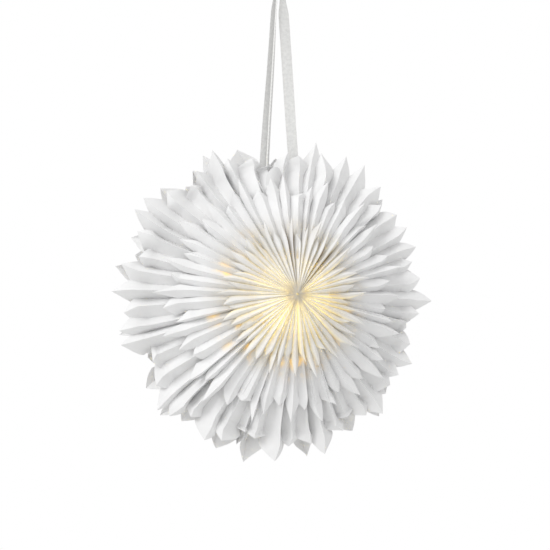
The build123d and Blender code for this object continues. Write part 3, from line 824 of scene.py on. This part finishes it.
def rolledPetal(form):
    low, high = form["roll"]
    rows, columns = rolled["rows"], rolled["columns"]
    vertices = []
    for i in range(rows + 1):
        for j in range(columns + 1):
            v, u = i / rows, 2 * j / columns - 1
            turn = radians(low + (high - low) * (u + 1) / 2)
            bend = form["footRadius"] + (form["tipRadius"] - form["footRadius"]) * v
            reach = form["foot"] + (form["tip"] - form["round"] * u * u - form["foot"]) * v
            vertices.append(((bend * sin(turn) + form["lean"] * v * v) * mm,
                             -(form["deep"] + form["out"] * v + bend * cos(turn)) * mm,
                             reach * mm))
    wide = columns + 1
    faces = [(i * wide + j, i * wide + j + 1, (i + 1) * wide + j + 1, (i + 1) * wide + j)
             for i in range(rows) for j in range(columns)]
    mesh = meshFrom("rolledPetal", vertices, faces)
    mesh.materials.append(paper)
    mesh.transform(Matrix.Rotation(radians(form["bearing"]), 4, "Y"))
    return bakedSheet(bpy.data.objects.new("rolledPetal", mesh), pleat["paper"])


def makeLeaf(sideName, side, leaf):
    # a leaf is four pleats of every tier, and the closing leaf at the top has one
    closing = leaf == 0
    nodeName = f"{sideName}_seam_leaf" if closing else f"{sideName}_leaf_{leaf:02d}"
    first = 0 if closing else (leaf - 1) * pleat["perLeaf"] + 1
    numbers = [0] if closing else range(first, first + pleat["perLeaf"])
    sheets = []
    for tierName, tier in tiers.items():
        sheet = bpy.data.objects.new(f"{nodeName}_{tierName}", templates[tierName, side])
        modifier = sheet.modifiers.new("pleats", "NODES")
        modifier.node_group = leafTree
        aims = frontAim if (sideName, tierName) == ("front", "outer") else {}
        sizes = {}
        for i, number in enumerate(numbers, 1):
            sizes |= {f"Cut {i}": cutBack(sideName, tierName, number) * mm,
                      f"Width {i}": petalWidths.get((sideName, tierName, number), 1.0),
                      f"Shoulder {i}": shoulderOf(sideName, number),
                      f"Aim {i}": aims.get(number, 0) * mm}
        setInputs(modifier, leafTree, {
            "First Pleat": first, "Pleats": len(numbers), "Pitch": pitch, "Side": float(side),
            "Notch Shift": tier["notchShift"] * mm, "Notch": tier["notch"] * mm,
            "Slope": (pleat["halfDepth"] - tier["notchDepth"]) / tier["notch"],
            "Seed": seeds[sideName] + tier["step"] * seeds["perTier"], **sizes, **unrest})
        sheets.append(bakedSheet(sheet, pleat["paper"]))
    if sideName == "front" and leaf == rolled["leaf"]:
        sheets += [rolledPetal(form) for form in rolled["petals"]]
    pieceName = f"{sideName}SeamLeaf" if closing else f"{sideName}Leaf{leaf:02d}"
    leafPiece = joined(pieceName, sheets)
    leafPiece.data.transform(Matrix.Translation(bodyMiddle))
    leafPiece.data.set_sharp_from_angle(angle=radians(pleat["sharpFrom"]))
    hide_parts(nodeName)
    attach(leafPiece, "lantern")


templates = {(tierName, side): petalTemplate(tierName, side)
             for tierName in tiers for side in (-1, 1)}
for sideName, side in (("front", -1), ("back", 1)):
    for leaf in range(leafCount + 1):
        makeLeaf(sideName, side, leaf)
print("paper folded")

# Card, lampholder, bulb and ceiling fitting: most keep their own shapes and get their real finishes
fittings = {"driftOver": 14, "toneRange": (0.35, 0.65), "glossSpread": (0.85, 1.15),
            "litCard": "#FBF6EA", "mergeWithin": 0.002, "sharpFrom": 28}
bulbFinish = {"clear": "#FBFCFA", "shadow": "#FDFDFB", "roughness": 0.02, "ior": 1.5,
              "coat": "#F2C94C", "coatRoughness": 0.6, "glowDeep": "#FFC45A",
              "glowPale": "#FFDE96", "chips": 1.6, "glow": 4.0}


def plainFinish(name, pale, dark, roughness, grain, relief, metallic=0.0, ior=1.5, passes=0.0):
    # one solid stuff whose tone and gloss waver a little, with a fine relief of `grain` mm
    material, tree = newMaterial(name)
    place = wired(tree, "ShaderNodeTexCoord", output="Object")
    fine = noise(tree, place, 1000 / grain)
    drift = noise(tree, place, 1000 / (grain * fittings["driftOver"]))
    share = ranged(tree, mixed(tree, 0.5, fine, drift), *fittings["toneRange"])
    gloss = ranged(tree, drift, *fittings["toneRange"],
                   [roughness * part for part in fittings["glossSpread"]])
    tone = mixed(tree, share, linear(dark), linear(pale))
    skin = principled(tree, {"Base Color": tone, "Roughness": gloss, "Metallic": metallic,
                             "IOR": ior, "Normal": bumped(tree, fine, relief)})
    if passes:
        lit = wired(tree, "ShaderNodeBsdfTranslucent", {"Color": linear(fittings["litCard"])})
        skin = wired(tree, "ShaderNodeMixShader", {0: passes, 1: skin, 2: lit})
    return finished(material, skin)


def glassMaterial():
    # Soda-lime glass, blown: clear and thin-walled; shadow rays pass, so the bulb lights the paper
    material, tree = newMaterial("blownGlass")
    clear = principled(tree, {"Base Color": linear(bulbFinish["clear"]), "IOR": bulbFinish["ior"],
                              "Roughness": bulbFinish["roughness"], "Transmission Weight": 1.0})
    gap = wired(tree, "ShaderNodeBsdfTransparent", {"Color": linear(bulbFinish["shadow"])})
    shaded = wired(tree, "ShaderNodeLightPath", output="Is Shadow Ray")
    both = wired(tree, "ShaderNodeMixShader", {0: shaded, 1: clear, 2: gap})
    return finished(material, both)


def filamentMaterial():
    # LED filament in its phosphor coat: glows warm white, a little unevenly where the chips sit
    material, tree = newMaterial("phosphorCoat")
    place = wired(tree, "ShaderNodeTexCoord", output="Object")
    tone = mixed(tree, noise(tree, place, 1000 / bulbFinish["chips"]),
                 linear(bulbFinish["glowDeep"]), linear(bulbFinish["glowPale"]))
    coat = principled(tree, {"Base Color": linear(bulbFinish["coat"]), "Emission Color": tone,
                             "Roughness": bulbFinish["coatRoughness"],
                             "Emission Strength": bulbFinish["glow"]})
    return finished(material, coat)


def dress(material, *names):
    for name in names:
        node = bpy.data.objects[name]
        if not node.material_slots:
            node.data.materials.append(material)
        for holder in node.material_slots:
            holder.material = material


# Each has a name, its pale and its dark tone, roughness, grain in mm and strength of the relief.
# Bleached board, pressed: matt, thin enough that the bulb's light comes through
board = plainFinish("bleachedBoard", "#F3F1EA", "#EAE7DE", 0.8, 0.45, 0.2, passes=0.85)
# PBT, moulded in a fine spark-eroded texture: white with a satin gloss
moulded = plainFinish("sparkTexturedPBT", "#F2F2EF", "#E8E8E4", 0.42, 0.45, 0.25, ior=1.55)
# Sheet brass, drawn and tumbled bright
brass = plainFinish("drawnBrass", "#D9B667", "#B98F45", 0.28, 0.5, 0.15, metallic=1.0)
# Steel, zinc plated and clear passivated: bluish white, slightly clouded
zinc = plainFinish("zincPlatedSteel", "#D3D6DA", "#AFB3B9", 0.34, 2.4, 0.12, metallic=1.0)
# Steel screw shell, nickel plated: warm bright metal
nickel = plainFinish("nickelPlate", "#D8D3C9", "#BDB6AA", 0.2, 0.8, 0.1, metallic=1.0)
# Steatite, pressed and fired unglazed: off-white, dull and faintly speckled
steatite = plainFinish("firedSteatite", "#EFECE3", "#DFDACE", 0.7, 0.5, 0.4, ior=1.6)
# Polyamide, moulded: slightly yellow white, waxy
polyamide = plainFinish("mouldedPolyamide", "#ECEAE0", "#E0DDD0", 0.5, 0.6, 0.2, ior=1.53)
# Enamel baked on pressed steel: satin, with a fine orange peel
enamel = plainFinish("bakedEnamel", "#F4F4F1", "#EEEEEA", 0.3, 1.1, 0.3)
# Vitrite, the black glass of a lamp cap
vitrite = plainFinish("pressedVitrite", "#17171A", "#0E0E10", 0.14, 0.9, 0.1, ior=1.52)
glass = glassMaterial()
dress(board, "front_hub_disc", "back_hub_disc", "seam_card")
dress(moulded, "holder_body", "holder_cap", "holder_cord_grip", "holder_ring", "bulb_collar",
      "strain_relief")
dress(brass, "holder_shell", "holder_contact", "bulb_tip", "terminal_screws")
dress(steatite, "holder_core")
dress(glass, "bulb_stem")
dress(filamentMaterial(), "bulb_filaments")
dress(nickel, "bulb_screw_shell")
dress(vitrite, "bulb_insulator")
dress(zinc, "ceiling_plate", "hook_nut")
dress(polyamide, "terminal_block")


def smoothed(nodeName, name, material, body):
    # the node's own shape, with its loose triangles merged and its round faces shaded smooth
    form = bmesh.new()
    form.from_mesh(bpy.data.objects[nodeName].data)
    bmesh.ops.remove_doubles(form, verts=form.verts, dist=fittings["mergeWithin"] * mm)
    bmesh.ops.recalc_face_normals(form, faces=form.faces)
    mesh = bpy.data.meshes.new(name)
    form.to_mesh(mesh)
    form.free()
    mesh.polygons.foreach_set("use_smooth", [True] * len(mesh.polygons))
    mesh.set_sharp_from_angle(angle=radians(fittings["sharpFrom"]))
    mesh.materials.clear()
    mesh.materials.append(material)
    piece = link(bpy.data.objects.new(name, mesh))
    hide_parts(nodeName)
    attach(piece, body)


smoothed("ceiling_cup", "ceilingCup", enamel, "cup")
smoothed("ceiling_hook", "ceilingHook", zinc, "ceiling")
smoothed("bulb_glass", "bulbGlass", glass, "bulb")
print("fittings finished")

# Light, floor and backdrop; lengths in metres, from the middle of the paper body
studio = {"sky": 0.82, "backdrop": 1.0, "key": 15.6, "keySize": 1.0, "keyFrom": (-1.45, -0.95, 1.1),
          "bulbPower": 0.50, "bulbCone": 132, "bulbRadius": 0.018, "bulbFrom": (0, 0, -0.006),
          "bulbGlow": "#FFEE8C"}
floorForm = {"drop": 1.9, "radius": 1.3, "sides": 96, "colour": "#F2F2F0", "roughness": 0.9}


def makeSky():
    world = bpy.data.worlds.new("studioWorld")
    scene.world = world
    world.use_nodes = True
    tree = world.node_tree
    tree.nodes.clear()
    seen = wired(tree, "ShaderNodeLightPath", output="Is Camera Ray")
    strength = mixed(tree, seen, studio["sky"], studio["backdrop"])
    sky = wired(tree, "ShaderNodeBackground", {"Color": (1, 1, 1, 1), "Strength": strength})
    addNode(tree, "ShaderNodeOutputWorld", {"Surface": sky})


def makeLamps():
    key = bpy.data.lights.new("softKey", "AREA")
    key.shape, key.size, key.energy = "DISK", studio["keySize"], studio["key"]
    lamp = link(bpy.data.objects.new("softKey", key))
    lamp.location = bodyMiddle + Vector(studio["keyFrom"])
    lamp.rotation_euler = (bodyMiddle - lamp.location).to_track_quat("-Z", "Y").to_euler()
    for name, away in (("bulbLightFront", -1), ("bulbLightBack", 1)):
        glow = bpy.data.lights.new(name, "SPOT")
        glow.energy, glow.shadow_soft_size = studio["bulbPower"], studio["bulbRadius"]
        glow.spot_size, glow.spot_blend = radians(studio["bulbCone"]), 1.0
        glow.color = linear(studio["bulbGlow"])[:3]
        bulb = link(bpy.data.objects.new(name, glow))
        bulb.location = bodyMiddle + Vector(studio["bulbFrom"])
        bulb.rotation_euler = Vector((0, away, 0)).to_track_quat("-Z", "Z").to_euler()
        # on the lantern and not on the bulb, whose turning would aim them at the rim
        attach(bulb, "lantern")


def makeFloor():
    rim = [(floorForm["radius"] * cos(turn), floorForm["radius"] * sin(turn), -floorForm["drop"])
           for turn in fullTurn(floorForm["sides"])]
    mesh = meshFrom("floor", rim, [list(range(len(rim)))], False)
    floor = link(bpy.data.objects.new("floor", mesh))
    material, tree = newMaterial("paleFloor")
    shine = principled(tree, {"Base Color": linear(floorForm["colour"]),
                              "Roughness": floorForm["roughness"]})
    floor.data.materials.append(finished(material, shine))


makeSky()
makeLamps()
makeFloor()
scene.view_settings.view_transform = "Standard"
print("studio lit")
